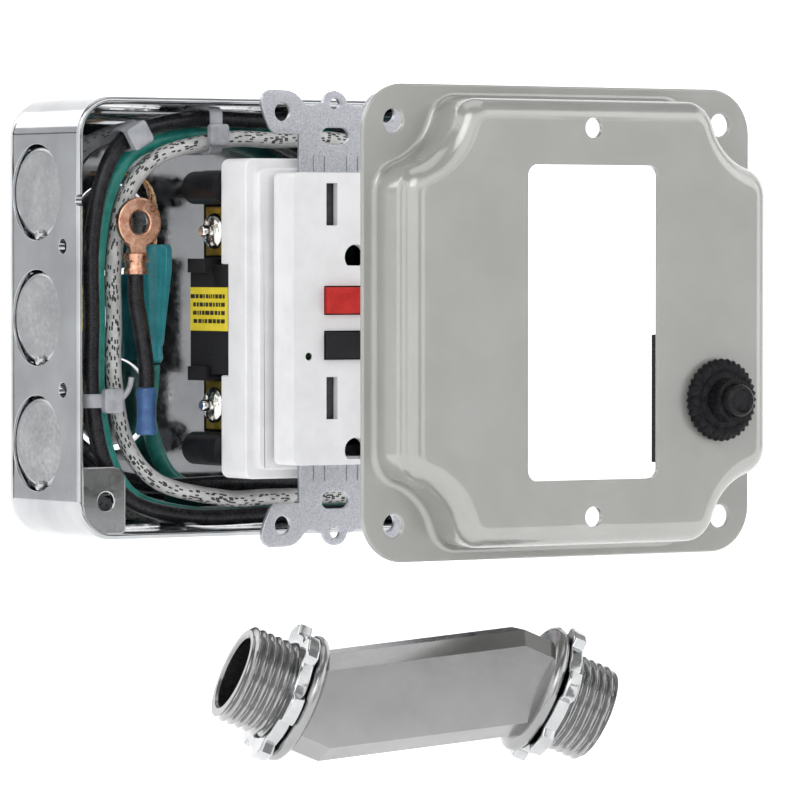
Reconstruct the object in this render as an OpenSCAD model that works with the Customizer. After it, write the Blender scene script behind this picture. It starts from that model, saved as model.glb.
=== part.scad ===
// Exploded kit of a manual transfer switch: a 4 inch square steel box, a ground-fault receptacle,
// a raised cover with a push-to-reset breaker, and an offset nipple with two locknuts.
// Millimetres. Origin: centre of the box's outer back face. +Z is up, the front faces -Y.

/* [Box] */
// Width and height of the square box
box_w = 101.6; // [100:0.1:103]
// Depth of the box, from its back face to its front rim
box_d = 38.1; // [38:0.1:41]
// Thickness of the drawn steel
box_t = 1.7; // [1.4:0.1:1.9]
// Radius of the box's corners and back edges
box_r = 9; // [8:0.5:10]
// Radius of a half-inch knockout
knockout_r = 11.1; // [10.9:0.1:11.2]
// Distance from the middle to the knockouts at the ends of a side
knockout_pitch = 29; // [27:0.5:30]

/* [Receptacle] */
// Distance between the strap's mounting screws
screw_spacing = 83.3; // [83:0.1:83.6]
// Length of the strap over its ears
strap_l = 104; // [103:0.5:106]
// Width of the moulded body
body_w = 44; // [43:0.5:44.5]
// Height of the moulded body
body_h = 73; // [72:0.5:74]
// Width of the raised face
face_w = 33.2; // [33:0.1:33.3]
// Height of the raised face
face_h = 66.4; // [66:0.1:66.5]
// Travel of the reset and test buttons
button_travel = 1.5; // [1:0.1:2]

/* [Cover] */
// Height of the raised part over the flange
cover_rise = 12.7; // [12:0.1:14]
// Thickness of the cover's sheet
cover_t = 1.2; // [1:0.1:1.4]
// Width of the flange that shows outside the raised part
cover_margin = 3; // [2.5:0.1:3.5]
// Sideways distance from the cover's middle to the breaker
breaker_x = 33; // [32.5:0.1:33.5]
// Height of the breaker, from the cover's middle
breaker_z = -17; // [-18:0.5:-16]

/* [Nipple] */
// Outer diameter of the half-inch thread
thread_d = 21.2; // [21:0.1:21.3]
// Sideways offset between the two threads
nipple_offset = 22; // [19:0.5:23]
// Length of each thread
thread_l = 15.5; // [14:0.5:18]
// Tilt of the threads from level
nipple_tilt = 23.5; // [20:0.5:32]
// Turn of the nipple about the vertical
nipple_turn = 18; // [0:1:25]

/* [Exploded layout] */
// How far the receptacle stands in front of its seat on the box
receptacle_gap = 28; // [28:1:40]
// How far the cover stands in front of its seat on the receptacle
cover_gap = 88; // [60:1:120]

/* [Hidden] */
$fn = 64;
eps = 0.01;
half = box_w / 2;

// Planes along Y. The receptacle and the cover hang in front of the box in the exploded layout.
rim_y = -box_d;
strap_t = 1.2;
seat_gap = 0.3;
strap_y = rim_y - seat_gap - receptacle_gap;
strap_front = strap_y - strap_t;
mid_d = 13;
rear_d = 14;
mid_y = strap_y + mid_d;
rear_y = mid_y + rear_d;
face_d = 8.5;
face_front = strap_front - face_d;
flange_y = strap_front - seat_gap - cover_gap;
cover_face = flange_y - cover_rise - cover_t;
cover_back = cover_face + cover_t;

// Receptacle features, as heights from its middle
slot_z = [26, -18];
ground_drop = 12;
blade_x = 6.35;
reset_z = 4.2;
test_z = -6;
button_w = 16.4;
button_h = 6;
terminal_z = 20;
plate_x = 19.4;
screw_r = 4.15;

// Breaker sizes
bushing_r = 4.7;
nut_r = 9.2;
nut_t = 3;
breaker_size = [14.4, 17.2, 28];
breaker_shift = 2.8;
body_gap = 0.05;

// Nipple sizes
bore_r = 7.9;
neck_x = 23.5;
neck_straight = 8;
flange_r = 14.2;
nipple_centre = [-36, -155, -79];
nut_gap = 0.05;
locknut_r = 15.4;
locknut_t = 3;

// Wire lanes inside the box. Each lane: left x, left y, top z, top y, right y, bottom z, bottom y.
wire_r = 1.9;
lane_right = 46.4;
black_lane_a = [-44.2, -32.8, 46, -30, -27, -46.4, -31.5];
black_lane_b = [-42.2, -12.5, 44.6, -11.5, -7, -39.6, -13];
white_lane_a = [-35.6, -28.4, 41.4, -32.6, -32, -42.2, -32];
green_lane = [-40.2, -28.6, 42.6, -26.2, -22, -46.2, -27];
white_lane_b = [-46.4, -18.5, 44.6, -17, -12, -46.4, -18.5];
corner_cut = 22;
lug_centre = [-33, -35.2, 22];
lug_wire_route = [[-33.8, -35.2, 9.9], [-33.6, -35.2, 4], [-32, -35, -4], [-31, -35.2, -11], [-31, -35.2, -15.9]];
connector = [-12, -6.6];
copper_route = [[-12, -6.6, 17], [-12, -7, 22], [-13, -8, 28], [-16, -8.4, 32.5], [-22, -8, 34]];
link_route = [[-12, -6.4, -11.3], [-12.1, -6, -16], [-12.4, -5.2, -24], [-10, -5, -32], [-6, -5, -38],
    [2, -5, -42], [14, -5, -43]];

// ---------- Shared shapes ----------

// A plate in the XZ plane, from y0 towards +Y by t
module plate(y0, t) {
    translate([0, y0 + t, 0]) rotate([90, 0, 0]) linear_extrude(t) children();
}

// A round bar along Y, from y0 towards +Y
module bar_y(x, z, r, y0, l) {
    translate([x, y0, z]) rotate([-90, 0, 0]) cylinder(r = r, h = l);
}

// A round bar along X, from x0 towards +X
module bar_x(y, z, r, x0, l) {
    translate([x0, y, z]) rotate([0, 90, 0]) cylinder(r = r, h = l);
}

module block(centre, size) {
    translate(centre - size / 2) cube(size);
}

module round_rect(w, h, r) {
    union() {
        square([w - 2 * r, h], center = true);
        square([w, h - 2 * r], center = true);
        for (x = [-1, 1], z = [-1, 1]) translate([x * (w / 2 - r), z * (h / 2 - r)]) circle(r);
    }
}

// ---------- Swept wires ----------

function unit(v) = v / norm(v);

// A point on a Catmull-Rom curve through b and c
function between(a, b, c, d, t) = 0.5 * (2 * b + (c - a) * t + (2 * a - 5 * b + 4 * c - d) * t * t
    + (3 * b - a - 3 * c + d) * t * t * t);

function smooth(p, steps) = let (n = len(p) - 1)
    concat([for (i = [0 : n - 1], s = [0 : steps - 1])
        between(p[max(i - 1, 0)], p[i], p[i + 1], p[min(i + 2, n)], s / steps)], [p[n]]);

function ring(p, i, r, sides) = let (
    n = len(p) - 1,
    along = unit(p[min(i + 1, n)] - p[max(i - 1, 0)]),
    across = unit(cross(along, [0, 1, 0])),
    out = cross(across, along))
    [for (k = [0 : sides - 1]) p[i] + r * (cos(360 * k / sides) * across + sin(360 * k / sides) * out)];

module tube(route, r, steps = 2, sides = 8) {
    p = smooth(route, steps);
    n = len(p);
    walls = [for (i = [0 : n - 2], k = [0 : sides - 1])
        [i * sides + k, i * sides + (k + 1) % sides, (i + 1) * sides + (k + 1) % sides, (i + 1) * sides + k]];
    first = [for (k = [sides - 1 : -1 : 0]) k];
    last = [for (k = [0 : sides - 1]) (n - 1) * sides + k];
    polyhedron([for (i = [0 : n - 1]) each ring(p, i, r, sides)], concat(walls, [first, last]), convexity = 6);
}

// One lead that lies along the right, top, left and bottom walls, in its own lane
function lane_route(a, c) = [
    [lane_right, a[4], 2], [lane_right, a[4], a[2] - c], [lane_right - 0.3 * c, a[4], a[2] - 0.3 * c],
    [lane_right - c, a[3], a[2]], [5, a[3], a[2]], [a[0] + c + 6, a[3], a[2]],
    [a[0] + 0.5 * c, (a[1] + a[3]) / 2, a[2] - 0.18 * c], [a[0] + 0.14 * c, a[1], a[2] - 0.62 * c],
    [a[0], a[1], a[2] - 1.3 * c], [a[0], a[1], 0], [a[0], a[1], a[5] + 1.3 * c],
    [a[0] + 0.14 * c, a[1], a[5] + 0.62 * c], [a[0] + 0.5 * c, (a[1] + a[6]) / 2, a[5] + 0.18 * c],
    [a[0] + c + 6, a[6], a[5]], [4, a[6], a[5]], [28, a[6], a[5]]];

module lane_wire(lane) {
    tube(lane_route(lane, corner_cut), wire_r);
}

// ---------- Box ----------

// A square pan with round corners and round back edges, open towards -Y
module pan(w, depth, r, back) {
    c = w / 2 - r;
    hull() {
        for (x = [-c, c], z = [-c, c]) {
            translate([x, back - r, z]) sphere(r, $fn = 32);
            translate([x, back - depth, z]) rotate([-90, 0, 0]) cylinder(r = r, h = depth - r, $fn = 32);
        }
    }
}

// Where the half-inch knockouts of the four sides are: angle about Y and distance along the side
side_spots = [for (turn = [0 : 90 : 270], along = [-knockout_pitch, 0, knockout_pitch]) [turn, along]];
back_spot = 20.6;
ground_screw_x = 8;
knockout_y = -19;

module on_side(spot) {
    rotate([0, spot[0], 0]) translate([-half, knockout_y, spot[1]]) rotate([0, 90, 0]) children();
}

module screw_ear(s) {
    scale([s, 1, s]) difference() {
        plate(rim_y, box_t) union() {
            translate([-half + 1, -half + 1]) square([8, 16]);
            translate([-half + 1, -half + 1]) square([11, 13]);
            translate([-half + 9, -half + 14]) circle(3);
        }
        bar_y(-43.4, -42, 2.1, rim_y - 1, box_t + 2);
    }
}

module box_shell() {
    color([0.80, 0.81, 0.83]) difference() {
        union() {
            difference() {
                pan(box_w, box_d, box_r, 0);
                pan(box_w - 2 * box_t, box_d, box_r - box_t, -box_t);
                for (spot = side_spots) on_side(spot) translate([0, 0, -1]) cylinder(r = knockout_r, h = 4);
                for (x = [-1, 1], z = [-1, 1])
                    bar_y(x * back_spot, z * back_spot, knockout_r, -box_t - 1, box_t + 2);
                for (turn = [0 : 90 : 270], along = [-16.5, 16.5]) rotate([0, turn, 0])
                    bar_x(-31, along, 1.6, -half - 1, 4);
            }
            intersection() {
                pan(box_w - 0.2, box_d, box_r - 0.1, 0);
                union() {
                    screw_ear(1);
                    mirror([1, 0, 0]) mirror([0, 0, 1]) screw_ear(1);
                }
            }
        }
        for (x = [-back_spot, back_spot]) bar_y(x, 0, 2.8, -box_t - 1, box_t + 2);
        bar_y(ground_screw_x, 0, 2, -box_t - 1, box_t + 2);
        bar_x(rim_y, 27, 1.3, -half - 1, 4);
    }
}

// A punched disc that still hangs in its hole by one tie
module slug(depth) {
    translate([0, 0, depth]) union() {
        cylinder(r = knockout_r - 0.25, h = 1.2);
        translate([-1.2, knockout_r - 1, 0]) cube([2.4, 0.9, 1.2]);
    }
}

module side_knockouts() {
    color([0.72, 0.73, 0.75]) for (spot = side_spots) on_side(spot) slug(0.45);
}

module back_knockouts() {
    color([0.86, 0.86, 0.87]) for (x = [-1, 1], z = [-1, 1])
        translate([x * back_spot, -0.2, z * back_spot]) rotate([90, 0, 0]) slug(0);
}

module box_ground_screw() {
    color([0.15, 0.5, 0.3]) union() {
        bar_y(ground_screw_x, 0, 1.95, -box_t - 1, box_t);
        bar_y(ground_screw_x, 0, 5.4, -box_t - 1.3, 1.2);
        translate([ground_screw_x, -box_t - 3.7, 0]) rotate([-90, 0, 0]) cylinder(r = 4.4, h = 2.4 + eps, $fn = 6);
    }
}

module black_wire_a() {
    color([0.1, 0.1, 0.12]) lane_wire(black_lane_a);
}

module black_wire_b() {
    color([0.1, 0.1, 0.12]) lane_wire(black_lane_b);
}

module white_wire_a() {
    color([0.8, 0.8, 0.8]) lane_wire(white_lane_a);
}

module white_wire_b() {
    color([0.8, 0.8, 0.8]) lane_wire(white_lane_b);
}

module green_wire() {
    color([0.2, 0.5, 0.47]) lane_wire(green_lane);
}

module lug_wire() {
    color([0.1, 0.1, 0.12]) tube(lug_wire_route, wire_r);
}

module link_wire() {
    color([0.2, 0.5, 0.47]) tube(link_route, wire_r);
}

module bare_copper_wire() {
    color([0.85, 0.6, 0.45]) tube(copper_route, 1);
}

// A crimped copper ring terminal on the end of the black lug wire
module ring_lug() {
    color([0.82, 0.6, 0.5]) union() {
        difference() {
            bar_y(lug_centre[0], lug_centre[2], 5.8, lug_centre[1] - 0.8, 1.6);
            bar_y(lug_centre[0], lug_centre[2], 2.7, lug_centre[1] - 2, 4);
        }
        block([lug_centre[0] - 0.6, lug_centre[1], lug_centre[2] - 7], [5, 1.6, 4]);
        translate([lug_centre[0] - 0.8, lug_centre[1], 10.02]) cylinder(r = 2.8, h = 5);
    }
}

module butt_splice() {
    color([0.2, 0.35, 0.6]) translate([-31, -35.2, -27]) cylinder(r = 2.5, h = 10.98);
}

module twist_connector() {
    color([0.25, 0.6, 0.62]) union() {
        translate([connector[0], connector[1], -6]) cylinder(r1 = 2.6, r2 = 4.6, h = 18, $fn = 48);
        translate([connector[0], connector[1], 12 - eps]) cylinder(r = 4.7, h = 5);
        translate([connector[0], connector[1], -11]) cylinder(r = 2.4, h = 5 + eps, $fn = 48);
    }
}

// A band around some leads. inner is the clear space and across is the band's own width.
module band(centre, inner, across) {
    wall = 0.6;
    grow = [for (i = [0 : 2]) i == across ? 0 : 2 * wall];
    reach = [for (i = [0 : 2]) i == across ? 1 : 0];
    difference() {
        block(centre, inner + grow);
        block(centre, inner + reach);
    }
}

module cable_ties() {
    color([0.6, 0.6, 0.63]) union() {
        band([-42, -30.7, -19], [8.6, 8.4, 4], 2);
        band([-12, -29.4, 43.4], [4, 11, 10], 0);
        translate([-33.2, -31.4, 42.04]) rotate([0, -30, 0]) band([0, 0, 0], [4.4, 5, 4.8], 0);
    }
}

// ---------- Receptacle ----------

// Right half of the outline of the strap's upper end, with its ear
end_points = [[9.6, 30], [9.6, 42], [16.4, 42], [18.4, 45.6], [19.8, 49.6], [19.2, strap_l / 2 - 0.9],
    [16.6, strap_l / 2], [11.8, strap_l / 2], [8.9, 50.2], [7.4, 48.2], [6.4, 48.2], [4, 49]];

module strap_end() {
    union() {
        polygon(concat(end_points, [for (i = [len(end_points) - 1 : -1 : 0]) [-end_points[i][0], end_points[i][1]]]));
        translate([0, strap_l / 2 - 3.4]) circle(3.4);
    }
}

module mounting_strap() {
    tip = strap_l / 2;
    color([0.66, 0.68, 0.72]) difference() {
        plate(strap_front, strap_t) union() {
            strap_end();
            mirror([0, 1]) strap_end();
            square([30, 64], center = true);
            square([19.2, 70], center = true);
        }
        plate(strap_front - 1, strap_t + 2) square([25, 58], center = true);
        for (s = [-1, 1]) {
            plate(strap_front - 1, strap_t + 2) translate([0, s * screw_spacing / 2]) union() {
                square([3.6, 3.8], center = true);
                for (x = [-1.8, 1.8]) translate([x, 0]) circle(1.9);
            }
            bar_y(0, s * (tip - 3), 1.3, strap_front - 1, strap_t + 2);
            for (x = [-1, 1]) bar_y(x * 14.2, s * (tip - 5), 2.1, strap_front - 1, strap_t + 2);
        }
    }
}

// The openings in the face for one outlet: two blades and a round-topped ground pin
module outlet_holes(z) {
    translate([-blade_x, z]) square([3, 9.6], center = true);
    translate([blade_x, z]) square([3, 8.2], center = true);
    translate([0, z - ground_drop]) intersection() {
        circle(2.9);
        translate([0, 0.7]) square([6, 5.2], center = true);
    }
}

module face_plate() {
    color([0.91, 0.91, 0.92]) difference() {
        plate(face_front, face_d) round_rect(face_w, face_h, 1.5);
        plate(face_front + 1.8, face_d) square([face_w - 3.6, face_h - 3.6], center = true);
        plate(face_front - 1, 4) union() {
            for (z = slot_z) outlet_holes(z);
            for (z = [reset_z, test_z]) translate([0, z]) square([button_w + 0.6, button_h + 0.6], center = true);
        }
        bar_y(-12.6, -8.5, 0.9, face_front - 1, 4);
    }
}

module middle_housing() {
    bevel = 2.2;
    color([0.9, 0.9, 0.91]) difference() {
        union() {
            plate(strap_y + bevel, mid_d - bevel) round_rect(body_w, body_h, 2);
            plate(strap_y, bevel) round_rect(body_w - 2 * bevel, body_h - 2 * bevel, 2);
        }
        plate(strap_y + 2, mid_d) square([body_w - 10, body_h - 7], center = true);
        plate(strap_y - 1, 4) square([25, 58], center = true);
        for (x = [-1, 1]) block([x * 21, mid_y - 1.4, -0.3], [8, 3.2, 25.4]);
    }
}

module rear_outline() {
    square([36, 68], center = true);
    for (x = [-1, 1], z = [-1, 1]) translate([x * 16.4, z * 30]) union() {
        square([8, 7.6], center = true);
        translate([x * 3.8, 0]) circle(3.8);
    }
}

module rear_housing() {
    color([0.13, 0.13, 0.14]) difference() {
        union() {
            plate(mid_y, rear_d) rear_outline();
            for (x = [-1, 1]) block([x * 19.4, mid_y + 5.5, -0.3], [4.4, 17, 25]);
            for (x = [-1, 1], z = [-1, 1]) block([x * 20.4, mid_y + 8.4, z * 12.4 - 0.3], [6.2, 7.6, 3.2]);
        }
        plate(mid_y - 1, rear_d - 0.8) square([31, 62], center = true);
        for (x = [-1, 1], z = [-1, 1]) bar_x(mid_y + 5.5, z * terminal_z, 2.1, x > 0 ? 14 : -20, 6);
    }
}

module housing_screws() {
    color([0.55, 0.55, 0.58]) for (x = [-16, 16], z = [-30.4, 30.4]) union() {
        bar_y(x, z, 2.6, rear_y, 1.4);
    }
}

// Side plates that the wires are clamped under
module side_plates(s) {
    for (z = [-1, 1]) difference() {
        block([s * (plate_x - 0.6), mid_y + 5.5, z * terminal_z], [1.2, 10.6, 11.2]);
        bar_x(mid_y + 5.5, z * terminal_z, 1.9, s * plate_x - 2, 4);
    }
}

module line_plates() {
    color([0.72, 0.58, 0.2]) side_plates(-1);
}

module neutral_plates() {
    color([0.75, 0.75, 0.76]) side_plates(1);
}

// A binding screw whose shank turns in a side plate. s is -1 on the left and 1 on the right.
module terminal_screw(s, z, y = mid_y + 5.5) {
    translate([s * (plate_x + 0.05), y, z]) rotate([0, 90 * s, 0]) difference() {
        union() {
            cylinder(r = screw_r, h = 1.4);
            translate([0, 0, 1.4 - eps]) cylinder(r1 = screw_r, r2 = 2.8, h = 1.2, $fn = 48);
            translate([0, 0, 2.6 - 2 * eps]) cylinder(r = 1.3, h = 2);
            translate([0, 0, -4.4]) cylinder(r = 1.85, h = 4.4 + eps);
        }
        translate([-0.5, -5, 2.1]) cube([1, 3.6, 2]);
        translate([-0.5, 1.4, 2.1]) cube([1, 3.6, 2]);
    }
}

module upper_line_screw() {
    color([0.75, 0.75, 0.77]) terminal_screw(-1, terminal_z);
}

module lower_line_screw() {
    color([0.75, 0.75, 0.77]) terminal_screw(-1, -terminal_z);
}

module upper_neutral_screw() {
    color([0.75, 0.75, 0.77]) terminal_screw(1, terminal_z);
}

module lower_neutral_screw() {
    color([0.75, 0.75, 0.77]) terminal_screw(1, -terminal_z);
}

module strap_ground_screw() {
    color([0.15, 0.5, 0.3]) union() {
        translate([0, strap_y + 1.3, -38.8]) rotate([-90, 0, 0]) cylinder(r = 0.9, h = 1, $fn = 24);
    }
}

module reset_button() {
    color([0.7, 0.15, 0.14]) push_button(reset_z, 1.5);
}

module test_button() {
    color([0.1, 0.1, 0.12]) push_button(test_z, 1.1);
}

module push_button(z, proud) {
    union() {
        plate(face_front - proud, proud + 3.2) translate([0, z]) square([button_w, button_h], center = true);
        plate(face_front + 3, 1) translate([0, z]) square([button_w + 2.4, button_h], center = true);
        bar_y(0, z, 1.6, face_front + 3.9, 5);
    }
}

// A plastic slide behind one pair of blade slots, which a plug pushes aside
module shutter(z) {
    plate(face_front + 2.2, 1.6) translate([0, z]) difference() {
        square([20, 10.4], center = true);
        translate([-blade_x - 4, 0]) square([2.6, 9.6], center = true);
        translate([blade_x - 3.2, 0]) square([2.6, 8.4], center = true);
    }
}

module upper_shutter() {
    color([0.85, 0.85, 0.86]) shutter(slot_z[0]);
}

module lower_shutter() {
    color([0.85, 0.85, 0.86]) shutter(slot_z[1]);
}

// Two spring leaves that grip one blade
module clip_pair(x, z) {
    for (s = [-1, 1]) block([x + s * 1.5, strap_y + 6.3, z], [0.6, 8, 7]);
    block([x, strap_y + 10.6, z], [3.6, 0.6, 7]);
}

module line_contacts() {
    color([0.75, 0.6, 0.25]) for (z = slot_z) clip_pair(blade_x, z);
}

module neutral_contacts() {
    color([0.75, 0.6, 0.25]) for (z = slot_z) clip_pair(-blade_x, z);
}

module ground_contacts() {
    color([0.75, 0.6, 0.25]) for (z = slot_z) difference() {
        bar_y(0, z - ground_drop, 3, strap_y + 2.2, 8);
        bar_y(0, z - ground_drop, 2.4, strap_y, 9);
    }
}

module circuit_board() {
    color([0.12, 0.35, 0.2]) difference() {
        block([0, mid_y + 1, 0], [30, 1.6, 60]);
        bar_y(8, -16, 2.2, mid_y - 1, 4);
    }
}

module sensor_coil() {
    color([0.5, 0.3, 0.15]) translate([0, mid_y + 2, 17]) rotate([-90, 0, 0]) difference() {
        cylinder(r = 9, h = 7);
        translate([0, 0, -1]) cylinder(r = 4.5, h = 9);
    }
}

module trip_solenoid() {
    color([0.55, 0.35, 0.2]) difference() {
        block([0, mid_y + 6.4, -14], [22, 9, 9]);
        bar_x(mid_y + 6.4, -14, 2.2, -12, 24);
    }
}

module solenoid_plunger() {
    color([0.5, 0.5, 0.52]) bar_x(mid_y + 6.4, -14, 2, -13.5, 24);
}

module indicator_light() {
    color([0.3, 0.6, 0.35]) bar_y(-12.6, -8.5, 0.8, face_front + 0.3, 3);
}

module rating_label() {
    color([0.89, 0.82, 0.2]) block([-21.7, mid_y + 5.6, 2.1], [0.2, 16.4, 10]);
}

// ---------- Cover ----------

raised_half = half - cover_margin;
notch = 15;

// Outline of the raised part: a square whose four corners give way to the cover screws
module raised_outline(inset) {
    offset(delta = -inset) offset(r = -4) offset(r = 8) offset(r = -4, $fn = 40) difference() {
        square(2 * raised_half, center = true);
        for (x = [-1, 1], z = [-1, 1]) translate([x * raised_half, z * raised_half]) circle(notch);
    }
}

module cover_plate() {
    color([0.69, 0.7, 0.68]) difference() {
        union() {
            plate(flange_y - cover_t, cover_t) round_rect(box_w, box_w, 10);
            plate(cover_face + 1, cover_rise + cover_t - 1) raised_outline(0);
            plate(cover_face, 1.5) raised_outline(1);
        }
        plate(cover_back, cover_rise + 1) raised_outline(cover_t + 0.8);
        plate(cover_face - 1, cover_t + 2) round_rect(34.2, 67.5, 2.4);
        for (z = [-1, 1]) bar_y(0, z * screw_spacing / 2, 2.2, cover_face - 1, cover_t + 2);
        for (x = [-1, 1], z = [-1, 1]) bar_y(x * 43, z * 43, 2.5, flange_y - cover_t - 1, cover_t + 2);
        bar_y(breaker_x, breaker_z, bushing_r + 0.1, cover_face - 1, cover_t + 2);
    }
}

module breaker_body() {
    color([0.1, 0.1, 0.11]) difference() {
        union() {
            block([breaker_x + breaker_shift, cover_back + body_gap + breaker_size[1] / 2, breaker_z], breaker_size);
            bar_y(breaker_x, breaker_z, bushing_r, cover_face - 6.6, cover_t + 6.8);
        }
        bar_y(breaker_x, breaker_z, 3.6, cover_face - 8, 14);
    }
}

module breaker_terminals() {
    color([0.75, 0.6, 0.3]) for (z = [-9, 9])
        block([breaker_x + breaker_shift, cover_back + body_gap + breaker_size[1] + 4, breaker_z + z], [0.8, 8, 6.3]);
}

module breaker_nut() {
    color([0.07, 0.07, 0.08]) translate([breaker_x, cover_face - nut_t - 0.05, breaker_z]) rotate([-90, 0, 0])
        difference() {
            union() {
                cylinder(r = nut_r - 0.7, h = nut_t);
                for (a = [0 : 10 : 350]) rotate([0, 0, a]) translate([nut_r - 0.7, 0, 0])
                    cylinder(r = 0.7, h = nut_t, $fn = 6);
            }
            translate([0, 0, -1]) cylinder(r = bushing_r + 0.05, h = nut_t + 2);
        }
}

module breaker_button() {
    color([0.13, 0.13, 0.14]) union() {
        bar_y(breaker_x, breaker_z, 3.5, cover_face - 9, 12);
    }
}

// ---------- Offset nipple ----------

// Places children in the nipple's own frame, whose threads lie along X
module nipple_frame() {
    translate(nipple_centre) rotate([0, 0, -nipple_turn]) rotate([0, nipple_tilt, 0]) children();
}

// Section of the slanted middle: a tall block with four long bevels
module middle_slice(x, z, grow) {
    w = 20 + grow;
    h = 21 + grow;
    deep = 5;
    high = 3.4;
    translate([x, 0, z]) rotate([90, 0, 90]) linear_extrude(0.02, center = true) polygon([
        [-w / 2, -h / 2 + high], [-w / 2 + deep, -h / 2], [w / 2 - deep, -h / 2], [w / 2, -h / 2 + high],
        [w / 2, h / 2 - high], [w / 2 - deep, h / 2], [-w / 2 + deep, h / 2], [-w / 2, h / 2 - high]]);
}

module slanted_block(reach, grow) {
    rise = nipple_offset / 2;
    hull() {
        for (x = [-reach, -reach + neck_straight]) middle_slice(x, -rise, grow);
        for (x = [reach - neck_straight, reach]) middle_slice(x, rise, grow);
    }
}

module offset_nipple() {
    rise = nipple_offset / 2;
    color([0.66, 0.66, 0.67]) nipple_frame() difference() {
        union() {
            slanted_block(neck_x, 0);
            for (s = [-1, 1]) {
                bar_x(0, s * rise, flange_r, s > 0 ? neck_x - 0.5 : -neck_x - 2, 2.5);
                bar_x(0, s * rise, thread_d / 2, s > 0 ? neck_x : -neck_x - thread_l, thread_l);
            }
        }
        slanted_block(neck_x + 0.5, -6);
        for (s = [-1, 1])
            bar_x(0, s * rise, bore_r, s > 0 ? neck_x - 2 : -neck_x - thread_l - 1, thread_l + 3);
    }
}

// A stamped ring with six lugs that turns on a thread
module locknut(s) {
    rise = nipple_offset / 2;
    nipple_frame() translate([s * (neck_x + 2 + 0.3 + locknut_t / 2), 0, s * rise]) rotate([0, 90, 0])
        difference() {
            union() {
                cylinder(r = 13.4, h = locknut_t, center = true);
                for (a = [0 : 60 : 300]) rotate([0, 0, a]) translate([0, -2.6, -locknut_t / 2])
                    cube([locknut_r, 5.2, locknut_t]);
            }
            cylinder(r = thread_d / 2 + nut_gap, h = locknut_t + 2, center = true);
        }
}

module left_locknut() {
    color([0.74, 0.74, 0.75]) locknut(-1);
}

module right_locknut() {
    color([0.74, 0.74, 0.75]) locknut(1);
}

box_shell();
side_knockouts();
back_knockouts();
box_ground_screw();
black_wire_a();
black_wire_b();
white_wire_a();
white_wire_b();
green_wire();
lug_wire();
link_wire();
bare_copper_wire();
ring_lug();
butt_splice();
twist_connector();
cable_ties();
mounting_strap();
face_plate();
middle_housing();
rear_housing();
housing_screws();
line_plates();
neutral_plates();
upper_line_screw();
lower_line_screw();
upper_neutral_screw();
lower_neutral_screw();
strap_ground_screw();
reset_button();
test_button();
upper_shutter();
lower_shutter();
line_contacts();
neutral_contacts();
ground_contacts();
circuit_board();
sensor_coil();
trip_solenoid();
solenoid_plunger();
indicator_light();
rating_label();
cover_plate();
breaker_body();
breaker_terminals();
breaker_nut();
breaker_button();
offset_nipple();
left_locknut();
right_locknut();
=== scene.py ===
import math
import random

import bmesh
import bpy
from mathutils import Matrix, Vector


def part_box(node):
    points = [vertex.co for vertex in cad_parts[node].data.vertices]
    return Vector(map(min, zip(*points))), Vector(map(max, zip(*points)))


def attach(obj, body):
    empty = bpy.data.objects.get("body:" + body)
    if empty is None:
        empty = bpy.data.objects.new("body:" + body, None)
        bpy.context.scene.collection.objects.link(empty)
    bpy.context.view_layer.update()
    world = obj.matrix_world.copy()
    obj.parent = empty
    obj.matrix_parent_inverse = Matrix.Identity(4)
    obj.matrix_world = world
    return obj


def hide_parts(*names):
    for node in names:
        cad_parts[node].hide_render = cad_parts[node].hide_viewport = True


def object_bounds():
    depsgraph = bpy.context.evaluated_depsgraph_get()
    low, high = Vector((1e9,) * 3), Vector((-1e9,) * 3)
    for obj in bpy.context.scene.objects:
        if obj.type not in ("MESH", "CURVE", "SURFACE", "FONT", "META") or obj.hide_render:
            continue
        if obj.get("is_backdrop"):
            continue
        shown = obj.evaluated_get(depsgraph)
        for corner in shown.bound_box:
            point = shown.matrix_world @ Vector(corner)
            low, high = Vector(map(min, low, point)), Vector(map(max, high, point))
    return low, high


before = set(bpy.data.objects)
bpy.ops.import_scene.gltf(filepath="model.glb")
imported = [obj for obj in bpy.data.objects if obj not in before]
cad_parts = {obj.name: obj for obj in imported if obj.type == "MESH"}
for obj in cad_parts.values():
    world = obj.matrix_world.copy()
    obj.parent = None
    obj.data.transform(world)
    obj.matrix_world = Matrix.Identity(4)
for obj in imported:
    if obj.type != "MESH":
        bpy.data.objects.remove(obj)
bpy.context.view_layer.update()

MM = 0.001
random.seed(7)

# ---------- Places, all from the frame ----------

box_lo, box_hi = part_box("box_shell")
HALF = box_hi.x
RIM_Y = box_lo.y
BOX_T = 1.7 * MM
BOX_R = 9 * MM
KNOCKOUT_R = 11.1 * MM
KNOCKOUT_Y = -19 * MM
SIDE_PITCH = 29 * MM
BACK_SPOT = 20.6 * MM
PRY_HOLE_PITCH = 16.5 * MM
GROUND_SCREW_X = 8 * MM
SIDE_SLUG_LEAN = math.radians(4.5)
EAR_HOLE = (-43.4 * MM, -42 * MM, 2.1 * MM)

cover_lo, cover_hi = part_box("cover_plate")
COVER_FACE = cover_lo.y
COVER_BACK = cover_hi.y
COVER_T = 1.2 * MM
RAISED_HALF = HALF - 3 * MM
WINDOW_HALF = (17.1 * MM, 33.75 * MM)
DEVICE_SCREW_Z = 41.65 * MM
COVER_SCREW = 43 * MM

strap_lo, strap_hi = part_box("mounting_strap")
nut_lo, nut_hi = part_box("breaker_nut")
BREAKER = (nut_lo + nut_hi) / 2

NIPPLE_TILT = math.radians(23.5)
NIPPLE_TURN = math.radians(18)
NIPPLE_RISE = 11 * MM
NECK_X = 23.5 * MM
NECK_STRAIGHT = 8 * MM
THREAD_L = 15.5 * MM
THREAD_R = 10.6 * MM
BORE_R = 7.9 * MM
BLOCK_SIZE = (20 * MM, 21 * MM)
BLOCK_BEVEL = (5 * MM, 3.4 * MM)


# ---------- Materials ----------

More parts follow.
